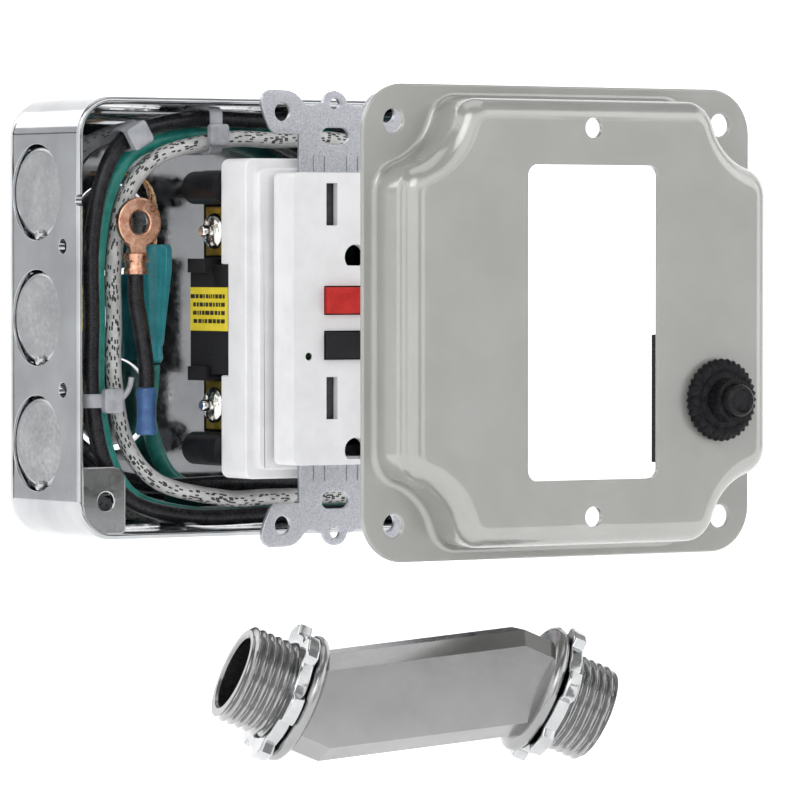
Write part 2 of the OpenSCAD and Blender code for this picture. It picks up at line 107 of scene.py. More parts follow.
def node(tree, kind, **values):
    made = tree.nodes.new(kind)
    for key, value in values.items():
        if key in made.inputs.keys():
            made.inputs[key].default_value = value
        else:
            setattr(made, key, value)
    return made


def shaded(low, high):
    return (*low, 1), (*high, 1)


def material(name, low, high, rough, metallic=0.0, spots=400, grain=2500, bump=0.2, depth=0.05, coat=0.0,
             stretch=(1, 1, 1), edge_highlight=None, transmission=0.0, specular=0.5):
    """A surface whose colour and roughness drift with noise. low and high are its two colours, rough its
    two roughnesses, spots and grain the noise scales per metre, depth the grain's height in millimetres."""
    made = bpy.data.materials.new(name)
    made.use_nodes = True
    tree = made.node_tree
    link = tree.links.new
    shader = tree.nodes["Principled BSDF"]
    shader.inputs["Metallic"].default_value = metallic
    shader.inputs["Coat Weight"].default_value = coat
    shader.inputs["Coat Roughness"].default_value = 0.08
    shader.inputs["Transmission Weight"].default_value = transmission
    shader.inputs["Specular IOR Level"].default_value = specular
    place = node(tree, "ShaderNodeTexCoord")
    mapping = node(tree, "ShaderNodeMapping", Scale=stretch)
    link(place.outputs["Object"], mapping.inputs["Vector"])
    broad = node(tree, "ShaderNodeTexNoise", Scale=spots, Detail=3.0, Roughness=0.55)
    fine = node(tree, "ShaderNodeTexNoise", Scale=grain, Detail=2.0, Roughness=0.6)
    link(mapping.outputs["Vector"], broad.inputs["Vector"])
    link(mapping.outputs["Vector"], fine.inputs["Vector"])
    ramp = node(tree, "ShaderNodeValToRGB")
    ramp.color_ramp.elements[0].position = 0.35
    ramp.color_ramp.elements[1].position = 0.65
    ramp.color_ramp.elements[0].color, ramp.color_ramp.elements[1].color = shaded(low, high)
    link(broad.outputs["Fac"], ramp.inputs["Fac"])
    colour = ramp.outputs["Color"]
    # Painted highlight: a lighter colour is mixed in where pointiness marks sharp convex edges
    if edge_highlight:
        geometry = node(tree, "ShaderNodeNewGeometry")
        edge = node(tree, "ShaderNodeMapRange")
        edge.inputs["From Min"].default_value = 0.53
        edge.inputs["From Max"].default_value = 0.62
        link(geometry.outputs["Pointiness"], edge.inputs["Value"])
        mix = node(tree, "ShaderNodeMix", data_type="RGBA")
        link(edge.outputs["Result"], mix.inputs["Factor"])
        link(colour, mix.inputs["A"])
        mix.inputs["B"].default_value = (*edge_highlight, 1)
        colour = mix.outputs["Result"]
    link(colour, shader.inputs["Base Color"])
    gloss = node(tree, "ShaderNodeMapRange")
    gloss.inputs["From Min"].default_value = 0.3
    gloss.inputs["From Max"].default_value = 0.7
    gloss.inputs["To Min"].default_value = rough[0]
    gloss.inputs["To Max"].default_value = rough[1]
    link(fine.outputs["Fac"], gloss.inputs["Value"])
    link(gloss.outputs["Result"], shader.inputs["Roughness"])
    relief = node(tree, "ShaderNodeBump", Strength=bump, Distance=depth * MM)
    link(fine.outputs["Fac"], relief.inputs["Height"])
    link(relief.outputs["Normal"], shader.inputs["Normal"])
    return made


def printed(base, ink, coverage, band, cells):
    """Adds generic printed ticks to a material, along a stripe of the tube's own length coordinates."""
    tree = base.node_tree
    link = tree.links.new
    shader = tree.nodes["Principled BSDF"]
    source = shader.inputs["Base Color"].links[0].from_socket
    place = node(tree, "ShaderNodeUVMap", uv_map="along")
    split = node(tree, "ShaderNodeSeparateXYZ")
    link(place.outputs["UV"], split.inputs["Vector"])
    mapping = node(tree, "ShaderNodeMapping", Scale=cells)
    link(place.outputs["UV"], mapping.inputs["Vector"])
    ticks = node(tree, "ShaderNodeTexVoronoi", Scale=1.0, Randomness=0.75)
    ticks.distance = "CHEBYCHEV"
    link(mapping.outputs["Vector"], ticks.inputs["Vector"])
    mark = node(tree, "ShaderNodeMath", operation="LESS_THAN")
    mark.inputs[1].default_value = coverage
    link(ticks.outputs["Distance"], mark.inputs[0])
    away = node(tree, "ShaderNodeMath", operation="SUBTRACT")
    away.inputs[1].default_value = band[0]
    link(split.outputs["X"], away.inputs[0])
    size = node(tree, "ShaderNodeMath", operation="ABSOLUTE")
    link(away.outputs[0], size.inputs[0])
    inside = node(tree, "ShaderNodeMath", operation="LESS_THAN")
    inside.inputs[1].default_value = band[1]
    link(size.outputs[0], inside.inputs[0])
    both = node(tree, "ShaderNodeMath", operation="MULTIPLY")
    link(mark.outputs[0], both.inputs[0])
    link(inside.outputs[0], both.inputs[1])
    mix = node(tree, "ShaderNodeMix", data_type="RGBA")
    link(both.outputs[0], mix.inputs["Factor"])
    link(source, mix.inputs["A"])
    mix.inputs["B"].default_value = (*ink, 1)
    link(mix.outputs["Result"], shader.inputs["Base Color"])
    return base


MAT = {
    "steel": material("bright_zinc", (0.45, 0.46, 0.475), (0.56, 0.57, 0.585), (0.05, 0.13),
        1.0, 60, 700, 0.05, 0.04),
    "slug": material("knockout_zinc", (0.42, 0.43, 0.44), (0.54, 0.55, 0.56), (0.12, 0.22),
        1.0, 100, 900, 0.06, 0.04),
    "strap": material("granular_zinc", (0.40, 0.41, 0.45), (0.56, 0.57, 0.61), (0.26, 0.42),
        0.95, 2600, 5200, 0.25, 0.05),
    "cover": material("cover_paint", (0.350, 0.354, 0.335), (0.380, 0.384, 0.365), (0.16, 0.22),
        0.35, 60, 1800, 0.05, 0.03, coat=0.7),
    "white": material("white_moulding", (0.70, 0.70, 0.715), (0.76, 0.76, 0.775), (0.30, 0.42),
        0.0, 150, 4200, 0.12, 0.03),
    # Its lighter edges are a painted highlight
    "black": material("black_moulding", (0.004, 0.004, 0.005), (0.010, 0.010, 0.012), (0.25, 0.42),
        0.0, 200, 3200, 0.2, 0.04, edge_highlight=(0.02, 0.02, 0.022), specular=0.15),
    "shutter": material("grey_moulding", (0.05, 0.05, 0.06), (0.08, 0.08, 0.09), (0.30, 0.42),
        0.0, 300, 3600, 0.12, 0.03, specular=0.25),
    "red": material("red_moulding", (0.42, 0.016, 0.014), (0.52, 0.028, 0.024), (0.25, 0.36),
        0.0, 300, 3600, 0.12, 0.03, specular=0.25),
    "black_wire": material("black_insulation", (0.008, 0.008, 0.010), (0.020, 0.020, 0.024), (0.22, 0.38),
        0.0, 500, 2600, 0.15, 0.05, specular=0.3),
    "green_wire": material("green_insulation", (0.010, 0.20, 0.165), (0.028, 0.30, 0.25), (0.28, 0.42),
        0.0, 350, 2600, 0.15, 0.05),
    "white_wire": printed(material("printed_insulation", (0.50, 0.50, 0.50), (0.66, 0.66, 0.65), (0.34, 0.48),
        0.0, 350, 2600, 0.15, 0.05),
        (0.03, 0.03, 0.03), 0.34, (0.62, 0.2), (20, 700, 1)),
    "grey_wire": printed(material("grey_insulation", (0.30, 0.30, 0.31), (0.42, 0.42, 0.43), (0.34, 0.48),
        0.0, 350, 2600, 0.15, 0.05),
        (0.04, 0.04, 0.04), 0.26, (0.62, 0.12), (26, 700, 1)),
    "copper": material("bare_copper", (0.62, 0.30, 0.19), (0.86, 0.52, 0.38), (0.22, 0.40),
        1.0, 500, 2600, 0.35, 0.06),
    "strand": material("bright_copper", (0.80, 0.42, 0.20), (0.98, 0.72, 0.48), (0.18, 0.30),
        1.0, 900, 4000, 0.2, 0.03),
    "teal": material("teal_moulding", (0.035, 0.36, 0.42), (0.055, 0.46, 0.52), (0.24, 0.36),
        0.0, 260, 3000, 0.15, 0.04),
    "blue": material("blue_sleeve", (0.035, 0.09, 0.24), (0.06, 0.15, 0.34), (0.25, 0.40),
        0.0, 350, 2600, 0.15, 0.04),
    "tie": material("tie_nylon", (0.30, 0.31, 0.34), (0.40, 0.41, 0.44), (0.36, 0.50),
        0.0, 400, 3000, 0.2, 0.04),
    "brass": material("brass_plate", (0.42, 0.31, 0.045), (0.60, 0.46, 0.09), (0.26, 0.42),
        0.9, 500, 2800, 0.25, 0.05),
    "nickel": material("nickel_screw", (0.66, 0.65, 0.62), (0.78, 0.77, 0.75), (0.07, 0.18),
        1.0, 500, 1800, 0.15, 0.05),
    "green_screw": material("green_screw", (0.02, 0.13, 0.06), (0.04, 0.22, 0.11), (0.22, 0.36),
        0.8, 500, 3000, 0.2, 0.05),
    "board": material("solder_resist", (0.008, 0.06, 0.03), (0.015, 0.11, 0.05), (0.3, 0.45),
        0.0, 700, 3000, 0.2, 0.05),
    "winding": material("enamelled_winding", (0.28, 0.09, 0.03), (0.45, 0.17, 0.06), (0.22, 0.35),
        0.6, 600, 3000, 0.5, 0.08, stretch=(1, 1, 6)),
    "dark_steel": material("turned_steel", (0.25, 0.25, 0.27), (0.45, 0.46, 0.48), (0.22, 0.38),
        1.0, 600, 3000, 0.2, 0.04),
    "label": material("label_vinyl", (0.70, 0.56, 0.035), (0.80, 0.66, 0.06), (0.30, 0.40),
        0.0, 300, 3000, 0.08, 0.02),
    "lamp": material("clear_lens", (0.01, 0.03, 0.015), (0.02, 0.05, 0.03), (0.06, 0.14),
        0.0, 500, 3000, 0.05, 0.02, transmission=0.6),
    # Its lighter edges are a painted highlight
    "breaker": material("breaker_moulding", (0.006, 0.006, 0.007), (0.016, 0.016, 0.018), (0.20, 0.34),
        0.0, 300, 2600, 0.2, 0.05, edge_highlight=(0.02, 0.02, 0.02), specular=0.14),
    "rubber": material("rough_moulding", (0.005, 0.005, 0.006), (0.018, 0.018, 0.020), (0.42, 0.62),
        0.0, 900, 2200, 0.9, 0.25, specular=0.1),
    "zinc": material("polished_casting", (0.34, 0.34, 0.34), (0.39, 0.39, 0.39), (0.17, 0.24),
        1.0, 70, 1100, 0.04, 0.03),
    "locknut": material("locknut_zinc", (0.50, 0.51, 0.52), (0.62, 0.63, 0.64), (0.08, 0.16),
        1.0, 160, 1100, 0.08, 0.05),
    "ink": material("label_ink", (0.010, 0.010, 0.012), (0.025, 0.025, 0.025), (0.4, 0.5),
        0.0, 500, 3000, 0.1, 0.02),
}


# ---------- Mesh helpers ----------

def add_object(name, mesh, body, mat, replaced=(), smooth_angle=38, bevel=0.0, segments=2):
    piece = bpy.data.objects.new(name, mesh)
    bpy.context.scene.collection.objects.link(piece)
    mesh.materials.clear()
    mesh.materials.append(MAT[mat])
    mesh.shade_smooth()
    mesh.set_sharp_from_angle(angle=math.radians(smooth_angle))
    if bevel:
        edge = piece.modifiers.new("edge", "BEVEL")
        edge.width = bevel
        edge.segments = segments
        edge.limit_method = "ANGLE"
        edge.angle_limit = math.radians(smooth_angle)
        edge.harden_normals = True
        edge.use_clamp_overlap = True
    flat = piece.modifiers.new("flat", "WEIGHTED_NORMAL")
    flat.keep_sharp = True
    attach(piece, body)
    if replaced:
        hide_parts(*replaced)
    return piece


def new_mesh(name, verts, faces):
    mesh = bpy.data.meshes.new(name)
    mesh.from_pydata([tuple(v) for v in verts], [], faces)
    mesh.validate()
    return mesh


def tidy_normals(mesh):
    work = bmesh.new()
    work.from_mesh(mesh)
    bmesh.ops.recalc_face_normals(work, faces=work.faces)
    work.to_mesh(mesh)
    work.free()
    return mesh


def loft(rings, closed=True, caps=(True, True)):
    """Vertices and faces of a skin through rings that have the same number of points."""
    count = len(rings[0])
    verts = [p for ring in rings for p in ring]
    faces = []
    for i in range(len(rings) - 1):
        for k in range(count if closed else count - 1):
            j = (k + 1) % count
            faces.append((i * count + k, i * count + j, (i + 1) * count + j, (i + 1) * count + k))
    if caps[0]:
        faces.append(tuple(range(count - 1, -1, -1)))
    if caps[1]:
        faces.append(tuple(range((len(rings) - 1) * count, len(rings) * count)))
    return verts, faces


def loft_mesh(name, rings, caps=(True, True), place=Matrix.Identity(4)):
    verts, faces = loft(rings, True, caps)
    mesh = new_mesh(name, [place @ Vector(v) for v in verts], faces)
    return tidy_normals(mesh)


def lathe(profile, sides=48):
    """Rings around the Z axis from a profile of (radius, height)."""
    turns = [2 * math.pi * k / sides for k in range(sides)]
    return [[Vector((r * math.cos(a), r * math.sin(a), z)) for a in turns] for r, z in profile]


def lathe_mesh(name, profile, place, sides=48, hollow=False):
    rings = lathe(profile, sides)
    if hollow:
        rings = rings + [rings[0]]
    return loft_mesh(name, rings, (not hollow, not hollow), place)


def joined(name, meshes):
    work = bmesh.new()
    for mesh in meshes:
        work.from_mesh(mesh)
    made = bpy.data.meshes.new(name)
    work.to_mesh(made)
    work.free()
    return made


def cut(mesh, cutters):
    """The mesh less all the cutters."""
    body = bpy.data.objects.new("body", mesh)
    tool = bpy.data.objects.new("tool", joined("tool", cutters))
    for obj in (body, tool):
        bpy.context.scene.collection.objects.link(obj)
    step = body.modifiers.new("cut", "BOOLEAN")
    step.operation = "DIFFERENCE"
    step.solver = "EXACT"
    step.use_self = True
    step.object = tool
    bpy.context.view_layer.update()
    result = bpy.data.meshes.new_from_object(body.evaluated_get(bpy.context.evaluated_depsgraph_get()))
    bpy.data.objects.remove(body)
    bpy.data.objects.remove(tool)
    return result


def facing(point, axis):
    """A frame at point whose Z runs along axis."""
    turn = Vector((0, 0, 1)).rotation_difference(Vector(axis).normalized()).to_matrix().to_4x4()
    return Matrix.Translation(Vector(point)) @ turn


def prism(loop, y0, y1):
    return loft_mesh("prism", [[(x, y, z) for x, z in loop] for y in (y0, y1)])


def rod(point, axis, radius, length, sides=40):
    return lathe_mesh("rod", [(radius, 0), (radius, length)], facing(point, axis), sides)


def circle(x, z, r, sides=40):
    turns = [2 * math.pi * k / sides for k in range(sides)]
    return [(x + r * math.cos(a), z + r * math.sin(a)) for a in turns]


def arc(cx, cz, r, start, end, steps):
    return [(cx + r * math.cos(start + (end - start) * k / steps),
             cz + r * math.sin(start + (end - start) * k / steps))
            for k in range(steps + 1)]


def round_square(half_x, half_z, r, steps=8):
    points = []
    for quarter in range(4):
        cx = (half_x - r) * (1 if quarter in (0, 3) else -1)
        cz = (half_z - r) * (1 if quarter in (0, 1) else -1)
        for k in range(steps + 1):
            a = math.radians(90 * quarter + 90 * k / steps)
            points.append((cx + r * math.cos(a), cz + r * math.sin(a)))
    return points


def plate(name, loops, y_front, thickness, edge):
    """A flat plate in the XZ plane. The first loop is its outline and the others are holes."""
    flat = bpy.data.curves.new(name, "CURVE")
    flat.dimensions = "2D"
    flat.fill_mode = "BOTH"
    flat.extrude = thickness / 2 - edge
    flat.bevel_depth = edge
    flat.bevel_resolution = 2
    flat.offset = -edge
    for loop in loops:
        line = flat.splines.new("POLY")
        line.points.add(len(loop) - 1)
        for point, (x, z) in zip(line.points, loop):
            point.co = (x, z, 0, 1)
        line.use_cyclic_u = True
    holder = bpy.data.objects.new(name, flat)
    bpy.context.scene.collection.objects.link(holder)
    bpy.context.view_layer.update()
    mesh = bpy.data.meshes.new_from_object(holder.evaluated_get(bpy.context.evaluated_depsgraph_get()))
    bpy.data.objects.remove(holder)
    stand = Matrix.Translation((0, y_front + thickness / 2, 0)) @ Matrix.Rotation(math.radians(90), 4, "X")
    mesh.transform(stand)
    return tidy_normals(mesh)


def refined(node_name, body, mat, bevel=0.3, segments=2):
    """A copy of a CAD node with its flat faces whole again and its edges rounded."""
    work = bmesh.new()
    work.from_mesh(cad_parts[node_name].data)
    bmesh.ops.remove_doubles(work, verts=work.verts, dist=0.01 * MM)
    bmesh.ops.dissolve_limit(work, angle_limit=math.radians(1), verts=work.verts, edges=work.edges)
    bmesh.ops.recalc_face_normals(work, faces=work.faces)
    mesh = bpy.data.meshes.new(node_name + "_fine")
    work.to_mesh(mesh)
    work.free()
    return add_object(node_name + "_fine", mesh, body, mat, (node_name,), bevel=bevel * MM,
                      segments=segments)


def catmull(points, steps):
    """Points on the smooth curve that passes through the given ones."""
    last = len(points) - 1
    path = []
    for i in range(last):
        a, b, c, d = (Vector(points[j]) for j in (max(i - 1, 0), i, i + 1, min(i + 2, last)))
        for s in range(steps):
            t = s / steps
            path.append(0.5 * (2 * b + (c - a) * t + (2 * a - 5 * b + 4 * c - d) * t * t
                               + (3 * b - a - 3 * c + d) * t ** 3))
    path.append(Vector(points[-1]))
    return path


def tube_mesh(name, path, radius, sides=16):
    """A round tube along a path, with a length coordinate called along."""
    last = len(path) - 1
    rings = []
    length = [0.0]
    out = Vector((0, 1, 0))
    for i, point in enumerate(path):
        direction = (path[min(i + 1, last)] - path[max(i - 1, 0)]).normalized()
        across = direction.cross(out).normalized()
        out = across.cross(direction).normalized()
        turns = [2 * math.pi * k / sides for k in range(sides)]
        rings.append([point + radius * (math.cos(a) * across + math.sin(a) * out) for a in turns])
        if i:
            length.append(length[-1] + (point - path[i - 1]).length)
    verts, faces = loft(rings)
    mesh = new_mesh(name, verts, faces)
    layer = mesh.uv_layers.new(name="along")
    for face in mesh.polygons:
        for loop in face.loop_indices:
            ring, side = divmod(mesh.loops[loop].vertex_index, sides)
            closes = len(face.vertices) == 4 and side == 0 and max(face.vertices) % sides == sides - 1
            around = 1.0 if closes else 0
            layer.data[loop].uv = (max(side / sides, around), length[ring])
    return tidy_normals(mesh)


# ---------- Box ----------

def pan_ring(half, y):
    r = max(half - (HALF - BOX_R), 0.02 * MM)
    return [Vector((x, y, z)) for x, z in round_square(half, half, r, 10)]


def box_shell():
    flat = HALF - BOX_R
    arc = [math.radians(9 * k) for k in range(11)]
    lip = BOX_T / 2
    outer = [pan_ring(flat + BOX_R * math.sin(a), -BOX_R * (1 - math.cos(a))) for a in arc]
    turn = [math.radians(22.5 * k) for k in range(9)]
    rim = [pan_ring(HALF - lip + lip * math.cos(a), RIM_Y + lip - lip * math.sin(a)) for a in turn]
    inner_r = BOX_R - BOX_T
    inner = [pan_ring(flat + inner_r * math.cos(a), -BOX_T - inner_r + inner_r * math.sin(a)) for a in arc]
    mesh = loft_mesh("box", outer + rim + inner)
    cutters = [rod((x * BACK_SPOT, -5 * MM, z * BACK_SPOT), (0, 1, 0), KNOCKOUT_R, 8 * MM, 64)
               for x in (-1, 1) for z in (-1, 1)]
    for x in (-BACK_SPOT, BACK_SPOT):
        cutters.append(rod((x, -5 * MM, 0), (0, 1, 0), 2.8 * MM, 8 * MM))
    cutters.append(rod((GROUND_SCREW_X, -5 * MM, 0), (0, 1, 0), 2 * MM, 8 * MM))
    cutters.append(rod((-HALF - 3 * MM, RIM_Y, 27 * MM), (1, 0, 0), 1.3 * MM, 7 * MM))
    for quarter in range(4):
        spin = Matrix.Rotation(math.radians(90 * quarter), 4, "Y")
        for along in (-SIDE_PITCH, 0, SIDE_PITCH):
            hole = rod((-HALF - 4 * MM, KNOCKOUT_Y, along), (1, 0, 0), KNOCKOUT_R, 8 * MM, 64)
            hole.transform(spin)
            cutters.append(hole)
        for along in (-PRY_HOLE_PITCH, PRY_HOLE_PITCH):
            pry = rod((-HALF - 4 * MM, -31 * MM, along), (1, 0, 0), 1.7 * MM, 8 * MM)
            pry.transform(spin)
            cutters.append(pry)
    add_object("box_shell_fine", cut(mesh, cutters), "box", "steel", ("box_shell",),
               smooth_angle=30, bevel=0.12 * MM)


def ear(name, sign):
    a = HALF - 1.2 * MM
    m = MM
    corner = arc(-a + 7 * m, -a + 7 * m, 7 * m, math.pi, 1.5 * math.pi, 8)
    foot = arc(-a + 10.3 * m, -a + 1.2 * m, 1.2 * m, -math.pi / 2, 0, 4)
    tip = arc(-a + 8.3 * m, -a + 12.4 * m, 3.2 * m, 0, math.pi / 2, 8)
    outline = corner + foot + tip + [(-a, -a + 15.6 * m)]
    loops = [[(sign * x, sign * z) for x, z in loop] for loop in (outline, circle(*EAR_HOLE, 24))]
    add_object(name, plate(name, loops, RIM_Y + 0.15 * m, 1.5 * m, 0.35 * m), "box", "steel",
               smooth_angle=50)


def slug_mesh(place, lean):
    """A punched disc, pushed in on one side and still held by a twisted tie."""
    r = KNOCKOUT_R - 0.8 * MM
    back = 0.5 * MM
    profile = [(0.01 * MM, 0.60 * MM), (r * 0.9, 0.56 * MM), (r - 0.3 * MM, 0.60 * MM), (r, 0.85 * MM),
               (r, 1.25 * MM), (r - 0.3 * MM, 1.45 * MM), (0.01 * MM, 1.45 * MM)]
    tip = Matrix.Translation((0, r + back, 0)) @ Matrix.Rotation(-lean, 4,
                                                                 "X") @ Matrix.Translation((0, -r, 0))
    disc = lathe_mesh("disc", profile, place @ tip, 56)
    tie = lathe_mesh("tie", [(0.5 * MM, 0), (1.0 * MM, 0.2 * MM), (1.3 * MM, 0.9 * MM),
                             (1.0 * MM, 1.7 * MM)],
                     place @ Matrix.Translation((r - 0.4 * MM, 0, 0)), 16)
    return joined("slug", [disc, tie])


def knockouts():
    sides = []
    for quarter in range(4):
        for along in (-SIDE_PITCH, 0, SIDE_PITCH):
            spin = Matrix.Rotation(math.radians(90 * quarter), 4, "Y")
            place = spin @ Matrix.Translation((-HALF, KNOCKOUT_Y,
                                               along)) @ Matrix.Rotation(math.radians(90), 4, "Y")
            sides.append(slug_mesh(place, SIDE_SLUG_LEAN))
    add_object("side_knockouts_fine", joined("sides", sides), "box", "slug",
               ("side_knockouts",))
    backs = []
    for x in (-1, 1):
        for z in (-1, 1):
            place = Matrix.Translation((x * BACK_SPOT, -0.1 * MM, z * BACK_SPOT))
            backs.append(slug_mesh(place @ Matrix.Rotation(math.radians(90), 4, "X"), 0))
    add_object("back_knockouts_fine", joined("backs", backs), "box", "slug",
               ("back_knockouts",))


# ---------- Wires ----------

LANE_RIGHT = 46.4
CORNER = 22
WIRE_R = 1.9 * MM
CONNECTOR = (-12, -6.6)


def lane(left_x, left_y, top_z, top_y, right_y, bottom_z, bottom_y):
    """A lead that lies along the right, top, left and bottom walls, in its own lane. Millimetres."""
    c = CORNER
    points = [
        (LANE_RIGHT, right_y, 2), (LANE_RIGHT, right_y, top_z - c),
        (LANE_RIGHT - 0.3 * c, right_y, top_z - 0.3 * c), (LANE_RIGHT - c, top_y, top_z), (5, top_y, top_z),
        (left_x + c + 6, top_y, top_z), (left_x + 0.5 * c, (left_y + top_y) / 2, top_z - 0.18 * c),
        (left_x + 0.14 * c, left_y, top_z - 0.62 * c), (left_x, left_y, top_z - 1.3 * c),
        (left_x, left_y, 0),
        (left_x, left_y, bottom_z + 1.3 * c), (left_x + 0.14 * c, left_y, bottom_z + 0.62 * c),
        (left_x + 0.5 * c, (left_y + bottom_y) / 2, bottom_z + 0.18 * c),
        (left_x + c + 6, bottom_y, bottom_z),
        (4, bottom_y, bottom_z), (28, bottom_y, bottom_z)]
    return [Vector(p) * MM for p in points]


def wire(node_name, points, mat, steps=6):
    mesh = tube_mesh(node_name, catmull(points, steps), WIRE_R)
    return add_object(node_name + "_fine", mesh, "box", mat, (node_name,), smooth_angle=60)


def wires():
    wire("black_wire_a", lane(-44.2, -32.8, 46, -30, -27, -46.4, -31.5), "black_wire")
    wire("black_wire_b", lane(-42.2, -12.5, 44.6, -11.5, -7, -39.6, -13), "black_wire")
    wire("white_wire_a", lane(-35.6, -28.4, 41.4, -32.6, -32, -42.2, -32), "white_wire")
    wire("green_wire", lane(-40.2, -28.6, 42.6, -26.2, -22, -46.2, -27), "green_wire")
    wire("white_wire_b", lane(-46.4, -18.5, 44.6, -17, -12, -46.4, -18.5), "grey_wire")
    lug = [(-33.8, -35.2, 9.9), (-33.6, -35.2, 4), (-32, -35, -4), (-31, -35.2, -11), (-31, -35.2, -15.9)]
    wire("lug_wire", [Vector(p) * MM for p in lug], "black_wire", steps=10)
    bridge = [(-12, -6.4, -11.3), (-12.1, -6, -16), (-12.4, -5.2, -24), (-10, -5, -32), (-6, -5, -38),
              (2, -5, -42), (14, -5, -43)]
    wire("link_wire", [Vector(p) * MM for p in bridge], "green_wire", steps=8)
    bare = [(-12, -6.6, 17), (-12, -7, 22), (-13, -8, 28), (-16, -8.4, 32.5), (-22, -8, 34)]
    path = catmull([Vector(p) * MM for p in bare], 14)
    strands = []
    for k in range(7):
        twisted = []
        for i, point in enumerate(path):
            a = 2 * math.pi * k / 6 + i * 0.16
            reach = 0 if k == 6 else 0.66 * MM
            twisted.append(point + reach * Vector((math.cos(a), math.sin(a), 0.35 * math.sin(a))))
        strands.append(tube_mesh("strand", twisted, 0.33 * MM, 8))
    add_object("bare_copper_wire_fine", joined("strands", strands), "box", "strand",
               ("bare_copper_wire",),
               smooth_angle=60)


def ring_lug():
    cx, cy, cz = -33 * MM, -35.2 * MM, 22 * MM
    ring = plate("lug", [circle(cx, cz, 5.8 * MM, 48), circle(cx, cz, 2.7 * MM, 32)], cy - 0.8 * MM,
                 1.6 * MM,
                 0.4 * MM)
    neck = [[(cx + x * MM - 0.6 * MM, cy + y * MM, cz + z * MM) for x, y in
             [(-w, -h), (w, -h), (w + 0.4, 0), (w, h), (-w, h), (-w - 0.4, 0)]]
            for w, h, z in ((2.4, 0.78, -4.6), (2.0, 0.8, -6.0), (2.1, 1.3, -7.6), (2.3, 2.0, -9.2))]
    tongue = loft_mesh("neck", neck)
    profile = [(2.0 * MM, 0), (2.75 * MM, 0.1 * MM), (2.8 * MM, 1.2 * MM), (2.45 * MM, 1.9 * MM),
               (2.45 * MM, 3 * MM),
               (2.8 * MM, 3.7 * MM), (2.7 * MM, 4.8 * MM), (2.0 * MM, 5.0 * MM)]
    barrel = lathe_mesh("barrel", profile, Matrix.Translation((cx - 0.8 * MM, cy, 10.02 * MM)), 32)
    add_object("ring_lug_fine", joined("lug", [ring, tongue, barrel]), "box", "copper",
               ("ring_lug",),
               smooth_angle=45)


def small_parts():
    profile = [(1.9 * MM, 0), (2.3 * MM, 0.2 * MM), (2.5 * MM, 1.4 * MM), (2.2 * MM, 2.6 * MM),
               (2.2 * MM, 8.2 * MM),
               (2.5 * MM, 9.4 * MM), (2.3 * MM, 10.7 * MM), (1.9 * MM, 10.95 * MM)]
    splice = lathe_mesh("splice", profile, Matrix.Translation((-31 * MM, -35.2 * MM, -27 * MM)), 32)
    add_object("butt_splice_fine", splice, "box", "blue", ("butt_splice",), smooth_angle=50)

    # The connector's grip has ribs, so its radius rises and falls around
    sides = 72
    rings = []
    for step in range(30):
        t = step / 29
        z = -11 + 28 * t
        if t < 0.16:
            base, rib = 2.3 + 0.1 * math.sin(40 * t), 0
        else:
            base = 2.6 + 2.0 * min(1, (t - 0.16) / 0.62)
            rib = 0.22 * min(1, (t - 0.16) * 8) * min(1, (1 - t) * 9)
        if step in (0, 29):
            base -= 0.5
        ring = []
        for k in range(sides):
            a = 2 * math.pi * k / sides
            r = base - rib * (1 + math.cos(12 * a)) / 2
            ring.append(((CONNECTOR[0] + r * math.cos(a)) * MM, (CONNECTOR[1] + r * math.sin(a)) * MM, z * MM))
        rings.append(ring)
    add_object("twist_connector_fine", loft_mesh("connector", rings), "box", "teal",
               ("twist_connector",), smooth_angle=60)

    refined("box_ground_screw", "box", "green_screw", 0.3)


def tie_band(centre, size, across, place=Matrix.Identity(4)):
    """A strap loop with rounded corners. size is its clear space and across the axis that it goes round."""
    wall = 0.6 * MM
    u, v = [i for i in range(3) if i != across]
    rings = []
    for grow, side in ((0, -1), (wall, -1), (wall, 1), (0, 1)):
        ring = []
        for a, b in round_square(size[u] / 2 + grow, size[v] / 2 + grow, 1.4 * MM + grow, 5):
            point = Vector((0, 0, 0))
            point[u], point[v], point[across] = a, b, side * size[across] / 2
            ring.append(place @ (Vector(centre) + point))
        rings.append(ring)
    return loft_mesh("band", rings + [rings[0]], (False, False))


def tie_head(centre, size, place=Matrix.Identity(4)):
    x, y, z = (s / 2 for s in size)
    rings = []
    for step, grow in ((-1, 0.72), (-0.7, 1), (0.6, 1), (1, 0.7)):
        ring = [place @ (Vector(centre) + Vector((a * grow, step * y, b * grow))) for a, b in
                round_square(x, z, min(x, z) * 0.3, 3)]
        rings.append(ring)
    return loft_mesh("head", rings)


def cable_ties():
    m = MM
    lean = Matrix.Translation((-33.2 * m, -31.4 * m, 42.04 * m))
    lean = lean @ Matrix.Rotation(math.radians(-30), 4, "Y")
    parts = [
        tie_band((-42 * m, -30.7 * m, -19 * m), (8.6 * m, 8.4 * m, 3.2 * m), 2),
        tie_head((-40.6 * m, -36.2 * m, -19 * m), (5 * m, 2.6 * m, 5.6 * m)),
        tie_band((-12 * m, -29.4 * m, 43.4 * m), (3.2 * m, 11 * m, 10 * m), 0),
        tie_head((-12 * m, -36.1 * m, 42.4 * m), (5 * m, 2.4 * m, 5 * m)),
        tie_band((0, 0, 0), (4.4 * m, 5 * m, 4.8 * m), 0, lean),
        tie_head((0, -4.2 * m, 0), (5.6 * m, 2.8 * m, 5.4 * m), lean)]
    tail = [(-39.6, -36.4, -19), (-38, -36.8, -18), (-36.6, -37, -16), (-36, -37, -13.6)]
    path = catmull([Vector(p) * m for p in tail], 5)
    parts.append(tube_mesh("tail", path, 0.7 * m, 8))
    add_object("cable_ties_fine", joined("ties", parts), "box", "tie", ("cable_ties",),
               smooth_angle=45,
               bevel=0.12 * m)


# ---------- Receptacle ----------

